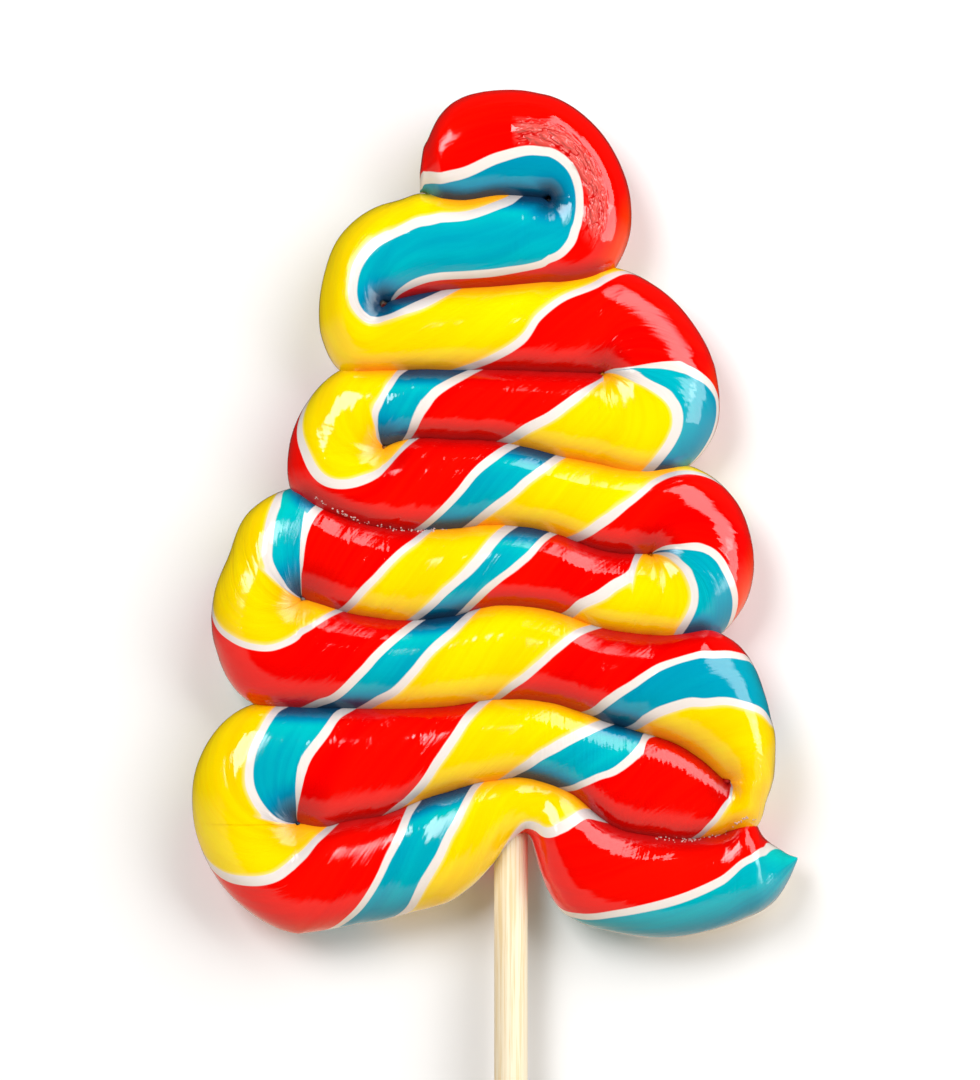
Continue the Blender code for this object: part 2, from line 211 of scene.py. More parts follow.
def row_lines(row):
    """Straight lines across one row, in the rope's running order: left and right ends as seen
    along it, how far it reaches past each, and the furthest that it may reach."""
    start = FOLDS[row - 2][0][0] if row > 1 else LEFT_END
    end = FOLDS[row - 1][0][0] if row < LAST_ROW else RIGHT_END
    lower_x = np.linspace(start, end, SAMPLES)
    upper_x = lower_x + curve_through(LEANS[row], lower_x) if row in LEANS else lower_x
    upper = np.stack([upper_x, curve_through(SEAMS[row - 1], upper_x)], 1)
    lower = np.stack([lower_x, curve_through(SEAMS[row], lower_x)], 1)
    reach_up, reach_down = overlap_at(row - 1, upper_x), overlap_at(row, lower_x)
    limit_up, limit_down = reach_up.copy(), reach_down.copy()
    if row > 1:
        away = PINCH_RELEASE * np.abs(upper_x - start) - pinch_radius(row - 1)
        limit_up = np.minimum(limit_up, away)
    if row < LAST_ROW:
        away = PINCH_RELEASE * np.abs(lower_x - end) - pinch_radius(row)
        limit_down = np.minimum(limit_down, away)
    place = np.linspace(row - ROW_HALF, row + ROW_HALF, SAMPLES)
    if row % 2:
        return upper, lower, reach_up, reach_down, limit_up, limit_down, place
    return lower, upper, reach_down, reach_up, limit_down, limit_up, place


def angle_of(line, side):
    """Angle of a line across the rope above the outward direction of a fold, in degrees."""
    across = line * (side, 1)
    return math.degrees(math.atan2(across[1], across[0]))


def fold_lines(fold, before, after, half):
    """Lines across one half of a fold, from the last line of the row before it to its outermost
    point, or from there to the first line of the row after it."""
    pinch, radii = FOLDS[fold - 1]
    pinch, side = np.array(pinch), 1 if fold % 2 else -1
    outer, inner = (0, 1) if side > 0 else (1, 0)
    ends = []
    for lines, i in ((before, -1), (after, 0)):
        across = lines[outer][i] - lines[inner][i]
        length = np.linalg.norm(across)
        ends.append((angle_of(across, side), length + lines[2 + outer][i]))
    (first, first_radius), (last, last_radius) = ends
    low, high = last + CLEAR_ANGLE, first - CLEAR_ANGLE
    middle = [(a, r) for a, r in zip(FOLD_ANGLES, radii) if low < a < high]
    table = sorted([(last, last_radius), *middle, (first, first_radius)])
    angle = np.linspace(first, 0, SAMPLES) if half == 1 else np.linspace(0, last, SAMPLES)
    radius = curve_through(table, angle)
    turn = np.radians(angle)
    direction = np.stack([side * np.cos(turn), np.sin(turn)], 1)
    far = pinch + radius[:, None] * direction
    near = np.repeat(pinch[None], SAMPLES, 0)
    none, reach = np.zeros(SAMPLES), np.full(SAMPLES, OVERLAP)
    stop = np.full(SAMPLES, -pinch_radius(fold))
    begin, finish = (ROW_HALF, FOLD_MIDDLE) if half == 1 else (FOLD_MIDDLE, 1 - ROW_HALF)
    place = fold + np.linspace(begin, finish, SAMPLES)
    if side > 0:
        return far, near, none, reach, none, stop, place
    return near, far, reach, none, stop, none, place


def piece_lines(row):
    """Lines across row `row` with its half of the fold on each side."""
    own = row_lines(row)
    parts = [own]
    if row > 1:
        parts.insert(0, fold_lines(row - 1, row_lines(row - 1), own, 2))
    if row < LAST_ROW:
        parts.append(fold_lines(row, own, row_lines(row + 1), 1))
    return [np.concatenate(values) for values in zip(*parts)]


def outer_edges(lines):
    """The rope's left and right edges with their reach past the seams."""
    left, right, reach_l, reach_r = lines[:4]
    direction = (left - right) / np.linalg.norm(left - right, axis=1)[:, None]
    return left + reach_l[:, None] * direction, right - reach_r[:, None] * direction


def resampled(lines, spacing):
    """The same lines at an even spacing along whichever edge of the rope is longer there."""
    left, right = outer_edges(lines)
    steps = [np.linalg.norm(np.diff(edge, axis=0), axis=1) for edge in (left, right)]
    along = np.concatenate(([0], np.cumsum(np.maximum(*steps))))
    count = max(2, round(along[-1] / spacing) + 1)
    wanted = np.linspace(0, along[-1], count)
    result = []
    for values in lines:
        columns = values.reshape(len(values), -1).T
        new = np.stack([np.interp(wanted, along, column) for column in columns], 1)
        result.append(new if values.ndim > 1 else new[:, 0])
    return result


def sections(row, lines, angles):
    """Cross-sections of a row at the given lines across it, as points: ring, point round it, x, y
    and z. The angle runs from the rope's left edge over its top to its right edge, and back."""
    left, right, reach_l, reach_r, limit_l, limit_r, place = lines
    across = left - right
    length = np.linalg.norm(across, axis=1)
    direction = across / length[:, None]
    half_width = (length + reach_l + reach_r) / 2
    middle = (length + reach_l - reach_r) / 2
    half_depth = eased(HALF_DEPTHS, place)
    if row in (1, LAST_ROW):
        half_depth = softer_minimum(half_depth, ROUND_END * half_width)
    cos, sin = np.cos(angles), np.sin(angles)
    wide = np.sign(cos) * np.abs(cos) ** SHOULDER
    high = np.sign(sin) * np.abs(sin) ** SHOULDER
    offset = middle[:, None] + half_width[:, None] * wide
    offset = np.clip(offset, -limit_r[:, None], (length + limit_l)[:, None])
    plan = right[:, None, :] + offset[..., None] * direction[:, None, :]
    height = MIDDLE_HEIGHT + eased(LIFTS, place)[:, None] + half_depth[:, None] * high
    return np.concatenate([plan, np.maximum(height, 0)[..., None]], 2)


# Borders between the rope's stripes as (place along the rope, angle round it in degrees). Angle 0
# is the rope's left edge as seen along it, 90 its ridge and 180 its right edge. The angle falls all
# along the rope, and each jump back up starts another turn.
RED_START = [
    (0.6, -30), (1.5, -50), (2.25, -90),
    (2.91, 143), (2.99, 127), (3.09, 103), (3.15, 79), (3.23, 60), (3.34, 48), (3.385, 0),
    (3.65, 137), (3.77, 97), (3.89, 66), (3.945, 43),
    (4.47, 158), (4.515, 125), (4.56, 105), (4.62, 80), (4.67, 62),
    (5.205, 112), (5.245, 97), (5.31, 74), (5.365, 47),
    (5.68, 137), (5.69, 115), (5.73, 95), (5.79, 65), (5.82, 34),
    (6.115, 135), (6.15, 116), (6.18, 98), (6.225, 70), (6.25, 49),
    (6.515, 164), (6.53, 147), (6.55, 125), (6.58, 101), (6.61, 86), (6.645, 73), (6.67, 61),
    (6.99, 131), (7.015, 116), (7.04, 99), (7.07, 78), (7.105, 47),
    (7.5, 135), (7.618, 119), (7.648, 101), (7.661, 84), (7.671, 68), (7.683, 54), (7.695, 40),
    (8.07, 126), (8.095, 101), (8.125, 77), (8.14, 63), (8.155, 52), (8.175, 41), (8.19, 35),
    (8.525, 180), (8.555, 148), (8.58, 121), (8.605, 102), (8.63, 86), (8.66, 68), (8.68, 46),
    (8.96, 140), (8.98, 113), (8.99, 77), (9.0, 40), (9.2, -40), (9.35, -100),
]
TEAL_START = [
    (0.6, 118), (0.87, 113), (1.09, 103), (1.28, 95), (1.4, 94), (1.52, 99), (1.58, 94),
    (1.61, 85), (1.64, 71), (1.68, 61), (1.78, 56), (1.9, 53), (2.14, 54), (2.21, 51), (2.28, 44),
    (2.31, 35), (2.335, 12), (2.42, -20), (3.3, -170),
    (3.478, 132), (3.482, 105), (3.486, 84), (3.493, 68), (3.503, 48), (3.512, 32), (3.522, 20),
    (3.545, 12), (3.56, 8),
    (4.08, 138), (4.183, 105), (4.206, 94), (4.232, 80), (4.248, 66), (4.264, 50), (4.283, 32),
    (4.755, 140), (4.8, 119), (4.89, 79), (4.95, 55), (5.3, -150),
    (5.468, 119), (5.48, 98), (5.494, 81), (5.507, 71), (5.52, 63), (5.532, 53), (5.547, 38),
    (5.565, 19), (5.58, 0),
    (5.86, 134), (5.9, 101), (5.955, 74), (5.99, 56), (6.025, 34),
    (6.316, 137), (6.333, 117), (6.341, 105), (6.347, 94), (6.35, 80), (6.353, 60), (6.357, 40),
    (6.675, 144), (6.7, 134), (6.745, 103), (6.79, 73), (6.835, 43),
    (7.128, 144), (7.146, 123), (7.167, 105), (7.194, 88), (7.221, 73), (7.236, 69), (7.262, 64),
    (7.275, 60), (7.294, 48), (7.315, 31), (7.326, 12), (7.42, -60), (7.7, -185),
    (7.783, 140), (7.79, 126), (7.797, 118), (7.811, 107), (7.833, 94), (7.859, 82), (7.885, 62),
    (7.905, 43),
    (8.262, 152), (8.284, 140), (8.301, 123), (8.313, 113), (8.326, 103), (8.336, 93), (8.343, 82),
    (8.348, 70), (8.352, 56), (8.357, 40), (8.38, 15),
    (8.7, 164), (8.718, 146), (8.733, 132), (8.744, 120), (8.759, 102), (8.771, 87), (8.786, 70),
    (8.795, 58), (8.807, 39),
    (9.01, 180), (9.04, 148), (9.085, 124), (9.135, 108), (9.19, 97), (9.245, 88), (9.27, 84),
    (9.281, 80), (9.29, 71), (9.3, 53), (9.31, 31), (9.32, 5), (9.34, -40),
]
YELLOW_START = [
    (0.6, 185), (1.5, 188), (1.7, 175), (1.766, 156), (1.804, 141), (1.834, 134), (1.896, 127),
    (1.96, 123), (2.08, 118), (2.2, 113), (2.33, 107), (2.4, 99), (2.46, 94), (2.5, 89),
    (2.535, 82), (2.57, 75), (2.61, 68), (2.67, 65), (2.72, 60), (2.8, 49), (3.3, -130),
    (3.46, 165), (3.5, 122), (3.518, 105), (3.529, 89), (3.545, 73), (3.56, 65), (3.574, 60),
    (3.59, 53), (3.605, 42), (3.62, 25),
    (4.3, 141), (4.322, 125), (4.345, 110), (4.357, 98), (4.37, 87), (4.38, 75), (4.388, 62),
    (4.412, 48), (4.44, 30),
    (4.88, 144), (4.915, 128), (5.0, 94), (5.08, 56), (5.3, -110),
    (5.47, 150), (5.51, 120), (5.526, 111), (5.54, 101), (5.555, 92), (5.577, 79), (5.601, 64),
    (5.614, 52), (5.63, 30),
    (5.95, 133), (6.0, 97), (6.05, 76), (6.07, 67),
    (6.366, 178), (6.374, 150), (6.386, 126), (6.4, 109), (6.418, 96), (6.427, 87), (6.436, 76),
    (6.442, 62), (6.46, 40),
    (6.77, 138), (6.8, 122), (6.835, 97), (6.87, 74), (6.91, 53),
    (7.198, 150), (7.207, 138), (7.218, 127), (7.231, 118), (7.258, 107), (7.284, 98), (7.307, 88),
    (7.32, 81), (7.329, 74), (7.337, 63), (7.344, 47), (7.35, 24), (7.37, 0), (7.46, -45),
    (7.78, -175),
    (7.86, 134), (7.91, 99), (7.955, 73), (7.98, 53),
    (8.364, 150), (8.375, 135), (8.385, 123), (8.4, 111), (8.418, 100), (8.437, 90), (8.45, 82),
    (8.462, 74), (8.478, 62), (8.49, 45),
    (8.804, 155), (8.814, 138), (8.822, 125), (8.831, 115), (8.852, 99), (8.872, 86), (8.894, 73),
    (8.914, 56), (8.925, 42),
    (9.0, 290), (9.2, 200), (9.35, 190),
]
BORDERS = (RED_START, TEAL_START, YELLOW_START)
SAME_TURN = 20  # an angle that rises by less than this is still in the same turn
# Least and most turn for each millimetre across the stripes, in radians. The most keeps the white
# lines from spreading where the rope is pinched.
LEAST_TURNED, MOST_TURNED = 0.05, 0.65

FINE_SPACING = 0.45  # between rings, in millimetres
TOP_STEPS, SIDE_STEPS, BACK_STEPS = 46, 9, 3  # points round the shown half, each side and the back
BACK_ANGLE = 52  # how far below the rope's edges its flat back starts, in degrees

CREASE_SHADE = 3.0  # how far from a crease the colours carry painted shade, in millimetres
SEAM_SAMPLES = 90  # points along a crease from which that distance is measured
# How far the painted shade spreads round the point that a fold turns about, in millimetres.
PINCH_SHADE = {1: 5.0, 2: 5.2, 4: 6.5, 6: 7.8, 8: 7.8}
CLOSED_PINCH_SHADE = 5.5
SHADED_SIDE = (0.62, -0.78, 0.0)  # the way that the slopes face that get painted shade, and painted light on the red
# A dried, crinkled patch on the first fold, painted pale pink as a sheen with painted shade in its
# wrinkles; one with marks like a comb's on row 8; and where the teal is painted bluer and darker as
# shade: from, to and fade by place, and by angle in degrees.
CRINKLED = ((1.20, 1.54, 0.05), (70, 86, 6))
COMBED = ((7.66, 7.98, 0.03), (40, 150, 20))
BLUE_SHADE = (((0.5, 1.52, 0.14), (60, 220, 20)), ((7.0, 7.5, 0.05), (0, 180, 20)))
# The white lines are wider on the first rows, within limits of the same kind, and narrow towards
# the point that a fold turns about, from so many millimetres away.
WIDE_LINES = ((0.5, 2.75, 0.25), (0, 360, 1))
WIDER_BY = 0.25
NARROWER_BY, NARROWER_WITHIN = 0.65, 5.0

# Grains of dry sugar: the seam that they lie in, from x to x, and how many there are.
CRUMBS = ((5, -24.5, -8.0, 80), (8, 18.0, 30.4, 64))
CRUMB_SPREAD = 0.13  # how far they stray across the seam, in millimetres
CRUMB_SIZES = (0.07, 0.18)  # least and most of half their length, in millimetres
CRUMB_WIDTHS, CRUMB_THICKNESS = (0.5, 1.0), 0.7  # as shares of their length
CRUMB_SEED = 4
ABOVE_ROPE = 20.0  # height from which the rope's surface is looked for, in millimetres

# Low relief of pulled sugar: its height, and the length of its waves across the stripes, in
# millimetres.
LUMPS = (0.16, 6.0)
FOLDS_IN_SKIN = (0.07, 2.6)
GROOVES = (0.035, 1.3)
ROPE_RADIUS = 6.5  # of the round rod that the relief is worked out on, in millimetres
PULLED = 0.12  # how much slower the relief changes along a stripe than across it
CALM = 3.0  # the relief fades out this close to the point that a fold turns about


def rope_lengths():
    """Places along the rope, and how far along its middle each of them is, in millimetres."""
    places, middles = [], []
    for row in range(1, LAST_ROW + 1):
        lines = piece_lines(row)
        left, right = outer_edges(lines)
        places.append(lines[-1])
        middles.append((left + right) / 2)
    steps = np.linalg.norm(np.diff(np.concatenate(middles), axis=0), axis=1)
    return np.concatenate(places), np.concatenate(([0], np.cumsum(steps)))


def along_rope(place):
    return np.interp(place, *ROPE_LENGTHS)


def unwrapped(border):
    """The places and falling angles of a border, in degrees."""
    places, angles, turn = [], [], 0
    last = border[0][1]
    for place, angle in border:
        if angle - 360 * turn > last + SAME_TURN:
            turn += 1
        last = angle - 360 * turn
        places.append(place)
        angles.append(last)
    return np.array(places), np.array(angles, float)


def border_angle(border, place):
    """Angle of a border at each place, on a smooth line that doesn't turn back between points."""
    places, y = unwrapped(border)
    x = along_rope(places)
    slope = np.diff(y) / np.diff(x)
    both = slope[:-1] * slope[1:] > 0
    tangent = np.zeros(len(x))
    tangent[0], tangent[-1] = slope[0], slope[-1]
    total = np.where(both, slope[:-1] + slope[1:], 1)
    tangent[1:-1] = np.where(both, 2 * slope[:-1] * slope[1:] / total, 0)
    return curve_with(x, y, tangent, along_rope(place))


def ring_angles():
    """Angles round the rope in radians: close together where it shows, far apart on its back."""
    top = np.linspace(0, 180, TOP_STEPS, endpoint=False)
    left = np.linspace(180, 180 + BACK_ANGLE, SIDE_STEPS, endpoint=False)
    back = np.linspace(180 + BACK_ANGLE, 360 - BACK_ANGLE, BACK_STEPS, endpoint=False)
    right = np.linspace(360 - BACK_ANGLE, 360, SIDE_STEPS, endpoint=False)
    return np.radians(np.concatenate([top, left, back, right]))


def noise_at(points, wave, height):
    return height * np.array([noise.noise(Vector(p)) for p in (points / wave).reshape(-1, 3)])


def grain_coordinates(place, angles):
    """Points in which a stripe is a straight line, so that noise over them follows the stripes."""
    mean = sum(np.radians(border_angle(border, place)) for border in BORDERS) / 3
    turn = angles[None] - mean[:, None]
    along = np.repeat((along_rope(place) * PULLED)[:, None], len(angles), 1)
    return np.stack([ROPE_RADIUS * np.cos(turn), ROPE_RADIUS * np.sin(turn), along], 2)


def outward_from(points):
    """Unit vectors out of the rope at the points of its rings."""
    around = np.roll(points, -1, 1) - np.roll(points, 1, 1)
    middle = points.mean(1, keepdims=True)
    axis = np.cross(points[:, 0] - middle[:, 0], (0.0, 0.0, 1.0))[:, None]
    outward = np.cross(around, axis)
    outward /= np.maximum(np.linalg.norm(outward, axis=2, keepdims=True), TINY)
    return outward * np.sign((outward * (points - middle)).sum(2, keepdims=True))


def folds_of(row):
    """The folds, and so the seams, that a row shares with its neighbours."""
    return [fold for fold in (row - 1, row) if 1 <= fold < LAST_ROW]


def from_pinch(points, fold):
    """How far each point is, in plan, from the point that a fold turns about."""
    return np.linalg.norm(points[..., :2] - np.array(FOLDS[fold - 1][0]), axis=2)


def relief(points, row, grain):
    """Points of the rope's rings, moved in or out by the low relief of pulled sugar."""
    waves = (LUMPS, FOLDS_IN_SKIN, GROOVES)
    height = sum(noise_at(grain, length, height) for height, length in waves)
    height = height.reshape(points.shape[:2])
    for fold in folds_of(row):
        height = height * smooth_step(from_pinch(points, fold) / CALM)
    moved = points + outward_from(points) * height[..., None]
    moved[..., 2] = np.maximum(moved[..., 2], 0)
    flat = points[..., 2] <= 0
    moved[flat] = points[flat]
    return moved


def crease_shade(points, row):
    """How deep each point lies in a crease between rows, from 0 to 1 on the crease itself: the
    share of painted shade there and round the folds.
    """
    shade = np.zeros(points.shape[:2])
    for seam in folds_of(row):
        inward = 1 if seam % 2 else -1
        x = np.linspace(NOTCHES[seam], FOLDS[seam - 1][0][0], SEAM_SAMPLES)
        fade = smooth_step((x - NOTCHES[seam]) * inward / CREASE_SHADE)
        for seam_x, seam_y, share in zip(x, curve_through(SEAMS[seam], x), fade):
            away = np.hypot(points[..., 0] - seam_x, points[..., 1] - seam_y)
            shade = np.maximum(shade, share * (1 - smooth_step(away / CREASE_SHADE)))
        spread = PINCH_SHADE.get(seam, CLOSED_PINCH_SHADE)
        shade = np.maximum(shade, 1 - smooth_step(from_pinch(points, seam) / spread))
    return shade


def within(value, low, high, fade):
    """1 between low and high, easing to 0 just outside."""
    return smooth_step((value - low) / fade + 1) * smooth_step((high - value) / fade + 1)


def patch(limits, place, angles):
    """How far each point lies in a patch of the skin, from 0 to 1."""
    by_place, by_angle = limits
    return within(place, *by_place)[:, None] * within(np.degrees(angles), *by_angle)[None]


def line_width(points, row, place, angles):
    """How wide the white lines are at each point, as a share of their usual width."""
    width = 1 + WIDER_BY * patch(WIDE_LINES, place, angles)
    for fold in folds_of(row):
        near = 1 - smooth_step(from_pinch(points, fold) / NARROWER_WITHIN)
        width = width * (1 - NARROWER_BY * near)
    return width


def stripe_values(points, place, angles):
    """For each of the three borders, the sine and cosine of the angle from it to each point, and
    the distance over the surface, straight across the stripes, that one radian of it takes."""
    along = np.gradient(points, axis=0)
    turn = (np.roll(angles, -1) - np.roll(angles, 1)) % TURN / 2
    around = (np.roll(points, -1, 1) - np.roll(points, 1, 1)) / 2
    a, b, c = (along * along).sum(2), (along * around).sum(2), (around * around).sum(2)
    area = np.maximum(a * c - b * b, TINY)
    sines, cosines, reaches = [], [], []
    for border in BORDERS:
        line = np.radians(border_angle(border, place))
        fall = -np.gradient(line)[:, None]
        steep = (c * fall * fall - 2 * b * fall * turn[None] + a * turn[None] ** 2) / area
        from_line = angles[None] - line[:, None]
        sines.append(np.sin(from_line))
        cosines.append(np.cos(from_line))
        turned = np.sqrt(np.maximum(steep, 0))
        reaches.append(1 / np.clip(turned, LEAST_TURNED, MOST_TURNED))
    return [np.stack(values, 2) for values in (sines, cosines, reaches)]


def new_object(name, data, collection):
    made = bpy.data.objects.new(name, data)
    collection.objects.link(made)
    return made


def give_corners(mesh, **attributes):
    """Corner attributes from values at the vertices, three for each."""
    corner_vertex = np.zeros(len(mesh.loops), int)
    mesh.loops.foreach_get("vertex_index", corner_vertex)
    for name, values in attributes.items():
        attribute = mesh.attributes.new(name, "FLOAT_VECTOR", "CORNER")
        attribute.data.foreach_set("vector", values.reshape(-1, 3)[corner_vertex].ravel())


def rope_piece(row, collection):
    """One row of the rope as a closed tube in fine mesh, with its stripes' coordinates."""
    angles = ring_angles()
    lines = resampled(piece_lines(row), FINE_SPACING)
    place = lines[-1]
    grain = grain_coordinates(place, angles)
    points = relief(sections(row, lines, angles), row, grain)
    count, around = points.shape[:2]
    index = np.arange(count * around).reshape(count, around)
    faces = [tuple(index[0, ::-1]), tuple(index[-1])]
    for i in range(count - 1):
        for j in range(around):
            k = (j + 1) % around
            faces.append((index[i, j], index[i, k], index[i + 1, k], index[i + 1, j]))
    mesh = bpy.data.meshes.new(f"row_{row}")
    mesh.from_pydata(points.reshape(-1, 3) * MM, [], faces)
    # How far each point faces the shaded side, which sets the painted light and shade on slopes.
    slope = outward_from(points) @ SHADED_SIDE
    # Where the teal gets painted shade, bluer and darker.
    blue_shade = np.max([patch(limits, place, angles) for limits in BLUE_SHADE], 0)
    shade = np.stack([crease_shade(points, row), slope, blue_shade], 2)
    crinkled, combed = patch(CRINKLED, place, angles), patch(COMBED, place, angles)
    marks = np.stack([crinkled, combed, line_width(points, row, place, angles)], 2)
    sine, cosine, reach = stripe_values(points, place, angles)
    give_corners(mesh, sine=sine, cosine=cosine, reach=reach, grain=grain, shade=shade, marks=marks)
    return new_object(f"row_{row}", mesh, collection)


def seam_height(fold):
    """Height of the rope's inner side above its middle, at the outermost line of a fold."""
    radius = FOLDS[fold - 1][1][FOLD_ANGLES.index(0)]
    share = (radius - OVERLAP) / (radius + OVERLAP)
    angle = math.acos(share ** (1 / SHOULDER))
    return float(eased(HALF_DEPTHS, fold + FOLD_MIDDLE)) * math.sin(angle) ** SHOULDER


def pinch_plug(fold, fill, collection):
    """A small ellipsoid that fills the rope round the point that a fold turns about."""
    (x, y), _ = FOLDS[fold - 1]
    size = (*PLUG_REACH, fill * seam_height(fold))
    middle = MIDDLE_HEIGHT + float(eased(LIFTS, fold + FOLD_MIDDLE))
    bm = bmesh.new()
    bmesh.ops.create_icosphere(bm, subdivisions=PLUG_DETAIL, radius=1)
    for vertex in bm.verts:
        vertex.co = (Vector((x, y, middle)) + vertex.co * Vector(size)) * MM
    mesh = bpy.data.meshes.new(f"plug_{fold}")
    bm.to_mesh(mesh)
    bm.free()
    inner = math.pi if fold % 2 else 0.0
    place = np.array([fold + FOLD_MIDDLE])
    lines = [math.radians(border_angle(border, place)[0]) for border in BORDERS]
    sine = [math.sin(inner - line) for line in lines]
    cosine = [math.cos(inner - line) for line in lines]
    reach = [1 / MOST_TURNED] * 3
    all_over = np.ones((len(mesh.vertices), 1))
    # The plug takes the full painted crease shade.
    give_corners(mesh, sine=all_over * sine, cosine=all_over * cosine, reach=all_over * reach,
                 grain=all_over * [0, 0, 0], shade=all_over * [1, 0, 0],
                 marks=all_over * [0, 0, 1 - NARROWER_BY])
    return new_object(f"plug_{fold}", mesh, collection)


def joined(first, others):
    """The union of one object with a collection of them, as a new mesh."""
    union = first.modifiers.new("union", "BOOLEAN")
    union.operation = "UNION"
    union.operand_type = "COLLECTION"
    union.collection = others
    union.solver = "MANIFOLD"
    evaluated = first.evaluated_get(bpy.context.evaluated_depsgraph_get())
    return bpy.data.meshes.new_from_object(evaluated)


def candy_mesh():
    """The whole rope, fused from its nine rows and the plugs in their folds."""
    rest = bpy.data.collections.new("rows")
    bpy.context.scene.collection.children.link(rest)
    first = rope_piece(1, bpy.context.scene.collection)
    for row in range(2, LAST_ROW + 1):
        rope_piece(row, rest)
    for fold in range(1, LAST_ROW):
        fill = PINCHES.get(fold, CLOSED_PINCH)[1]
        if fill:
            pinch_plug(fold, fill, rest)
    mesh = joined(first, rest)
    for piece in (first, *rest.objects):
        bpy.data.objects.remove(piece)
    bpy.data.collections.remove(rest)
    mesh.name = "candy_rope"
    return mesh


def sugar_crumbs(rope):
    """Grains of sugar that lie in two creases of the rope, as one mesh."""
    corners = [vertex.co for vertex in rope.vertices]
    surface = BVHTree.FromPolygons(corners, [face.vertices for face in rope.polygons])
    chance = random.Random(CRUMB_SEED)
    bm = bmesh.new()
    for seam, start, end, count in CRUMBS:
        for _ in range(count):
            x = chance.uniform(start, end)
            y = float(curve_through(SEAMS[seam], x)) + chance.gauss(0, CRUMB_SPREAD)
            foot = surface.ray_cast(Vector((x, y, ABOVE_ROPE)) * MM, Vector((0, 0, -1)))[0]
            turned = Euler([chance.uniform(0, TURN) for _ in range(3)]).to_matrix().to_4x4()
            size = chance.uniform(*CRUMB_SIZES)
            width = size * chance.uniform(*CRUMB_WIDTHS)
            shape = Matrix.Diagonal((size, width, size * CRUMB_THICKNESS, 1))
            bmesh.ops.create_icosphere(bm, subdivisions=1, radius=MM,
                                       matrix=Matrix.Translation(foot) @ turned @ shape)
    mesh = bpy.data.meshes.new("sugar_crumbs")
    bm.to_mesh(mesh)
    bm.free()
    return mesh


class Nodes:
    """Short ways to build a shader out of nodes."""

    def __init__(self, tree):
        self.tree = tree

    def add(self, kind, **settings):
        node = self.tree.nodes.new(kind)
        for name, value in settings.items():
            setattr(node, name, value)
        return node

    def put(self, socket, value):
        if isinstance(value, bpy.types.NodeSocket):
            self.tree.links.new(value, socket)
        else:
            socket.default_value = value

    def math(self, operation, *values):
        node = self.add("ShaderNodeMath", operation=operation)
        for socket, value in zip(node.inputs, values):
            self.put(socket, value)
        return node.outputs[0]

    def between(self, value, low, high, low_to=0.0, high_to=1.0):
        """A smooth step from low to high."""
        node = self.add("ShaderNodeMapRange", interpolation_type="SMOOTHSTEP")
        for name, number in (("Value", value), ("From Min", low), ("From Max", high),
                             ("To Min", low_to), ("To Max", high_to)):
            self.put(node.inputs[name], number)
        return node.outputs["Result"]

    def mix(self, share, first, second):
        """A colour between two colours: none of the second at share 0, and all of it at 1."""
        node = self.add("ShaderNodeMix", data_type="RGBA", clamp_factor=True)
        self.put(node.inputs[0], share)
        for socket, value in zip(node.inputs[6:8], (first, second)):
            self.put(socket, (*value, 1) if isinstance(value, tuple) else value)
        return node.outputs[2]

    def attribute(self, name):
        node = self.add("ShaderNodeAttribute", attribute_type="GEOMETRY", attribute_name=name)
        return node.outputs["Vector"]

    def parts(self, vector):
        node = self.add("ShaderNodeSeparateXYZ")
        self.put(node.inputs[0], vector)
        return tuple(node.outputs)

    def place(self):
        """Where a point is on its object, in metres."""
        return self.add("ShaderNodeTexCoord").outputs["Object"]

    def scaled(self, vector, scale):
        node = self.add("ShaderNodeVectorMath", operation="MULTIPLY")
        self.put(node.inputs[0], vector)
        node.inputs[1].default_value = scale
        return node.outputs[0]

    def noise(self, vector, scale, detail=2.0, roughness=0.5):
        node = self.add("ShaderNodeTexNoise")
        self.put(node.inputs["Vector"], vector)
        node.inputs["Scale"].default_value = scale
        node.inputs["Detail"].default_value = detail
        node.inputs["Roughness"].default_value = roughness
        return node.outputs[0]

    def stripe_noise(self, grain, kind):
        """A noise that runs with the stripes."""
        along, scale, detail, roughness = STRIPE_NOISES[kind]
        return self.noise(self.scaled(grain, (1.0, 1.0, along)), scale, detail, roughness)

    def bump(self, height, strength, distance, normal=None):
        """Adds low relief to a normal: its height is at most distance, in metres."""
        node = self.add("ShaderNodeBump")
        self.put(node.inputs["Height"], height)
        node.inputs["Strength"].default_value = strength
        node.inputs["Distance"].default_value = distance
        if normal is not None:
            self.put(node.inputs["Normal"], normal)
        return node.outputs[0]


def new_material(name):
    made = bpy.data.materials.new(name)
    made.use_nodes = True
    return made, Nodes(made.node_tree), made.node_tree.nodes["Principled BSDF"]


# Colours, as linear red, green and blue. Several are painted light and shade: on slopes that face
# the shaded side, painted shade turns teal darker and bluer and yellow orange, while painted light
# turns red a lighter orange-red; on slopes that face away, painted light makes teal brighter; in
# the creases, painted shade darkens every colour; and the crinkled patch's pale pink is a painted
# sheen, with painted shade in its wrinkles.
RED = (0.81, 0.0, 0.0)
RED_WARM = (0.89, 0.003, 0.0)
RED_PAINTED_LIGHT = (0.97, 0.07, 0.0)
RED_CREASE_SHADE = (0.42, 0.0, 0.0)
RED_PAINTED_SHEEN = (0.82, 0.20, 0.17)
RED_WRINKLE_SHADE = (0.12, 0.0, 0.0)
YELLOW = (0.93, 0.71, 0.0)
YELLOW_WARM = (0.93, 0.61, 0.0)
YELLOW_SLOPE_SHADE = (0.93, 0.50, 0.0)
YELLOW_CREASE_SHADE = (0.85, 0.33, 0.0)
TEAL = (0.0, 0.45, 0.51)
TEAL_BLUE = (0.0, 0.32, 0.44)
TEAL_PAINTED_LIT = (0.0, 0.52, 0.50)
TEAL_PAINTED_SHADE = (0.0, 0.25, 0.42)
TEAL_CREASE_SHADE = (0.0, 0.03, 0.08)
WHITE = (0.80, 0.74, 0.70)
WHITE_CREASE_SHADE = (0.40, 0.36, 0.36)
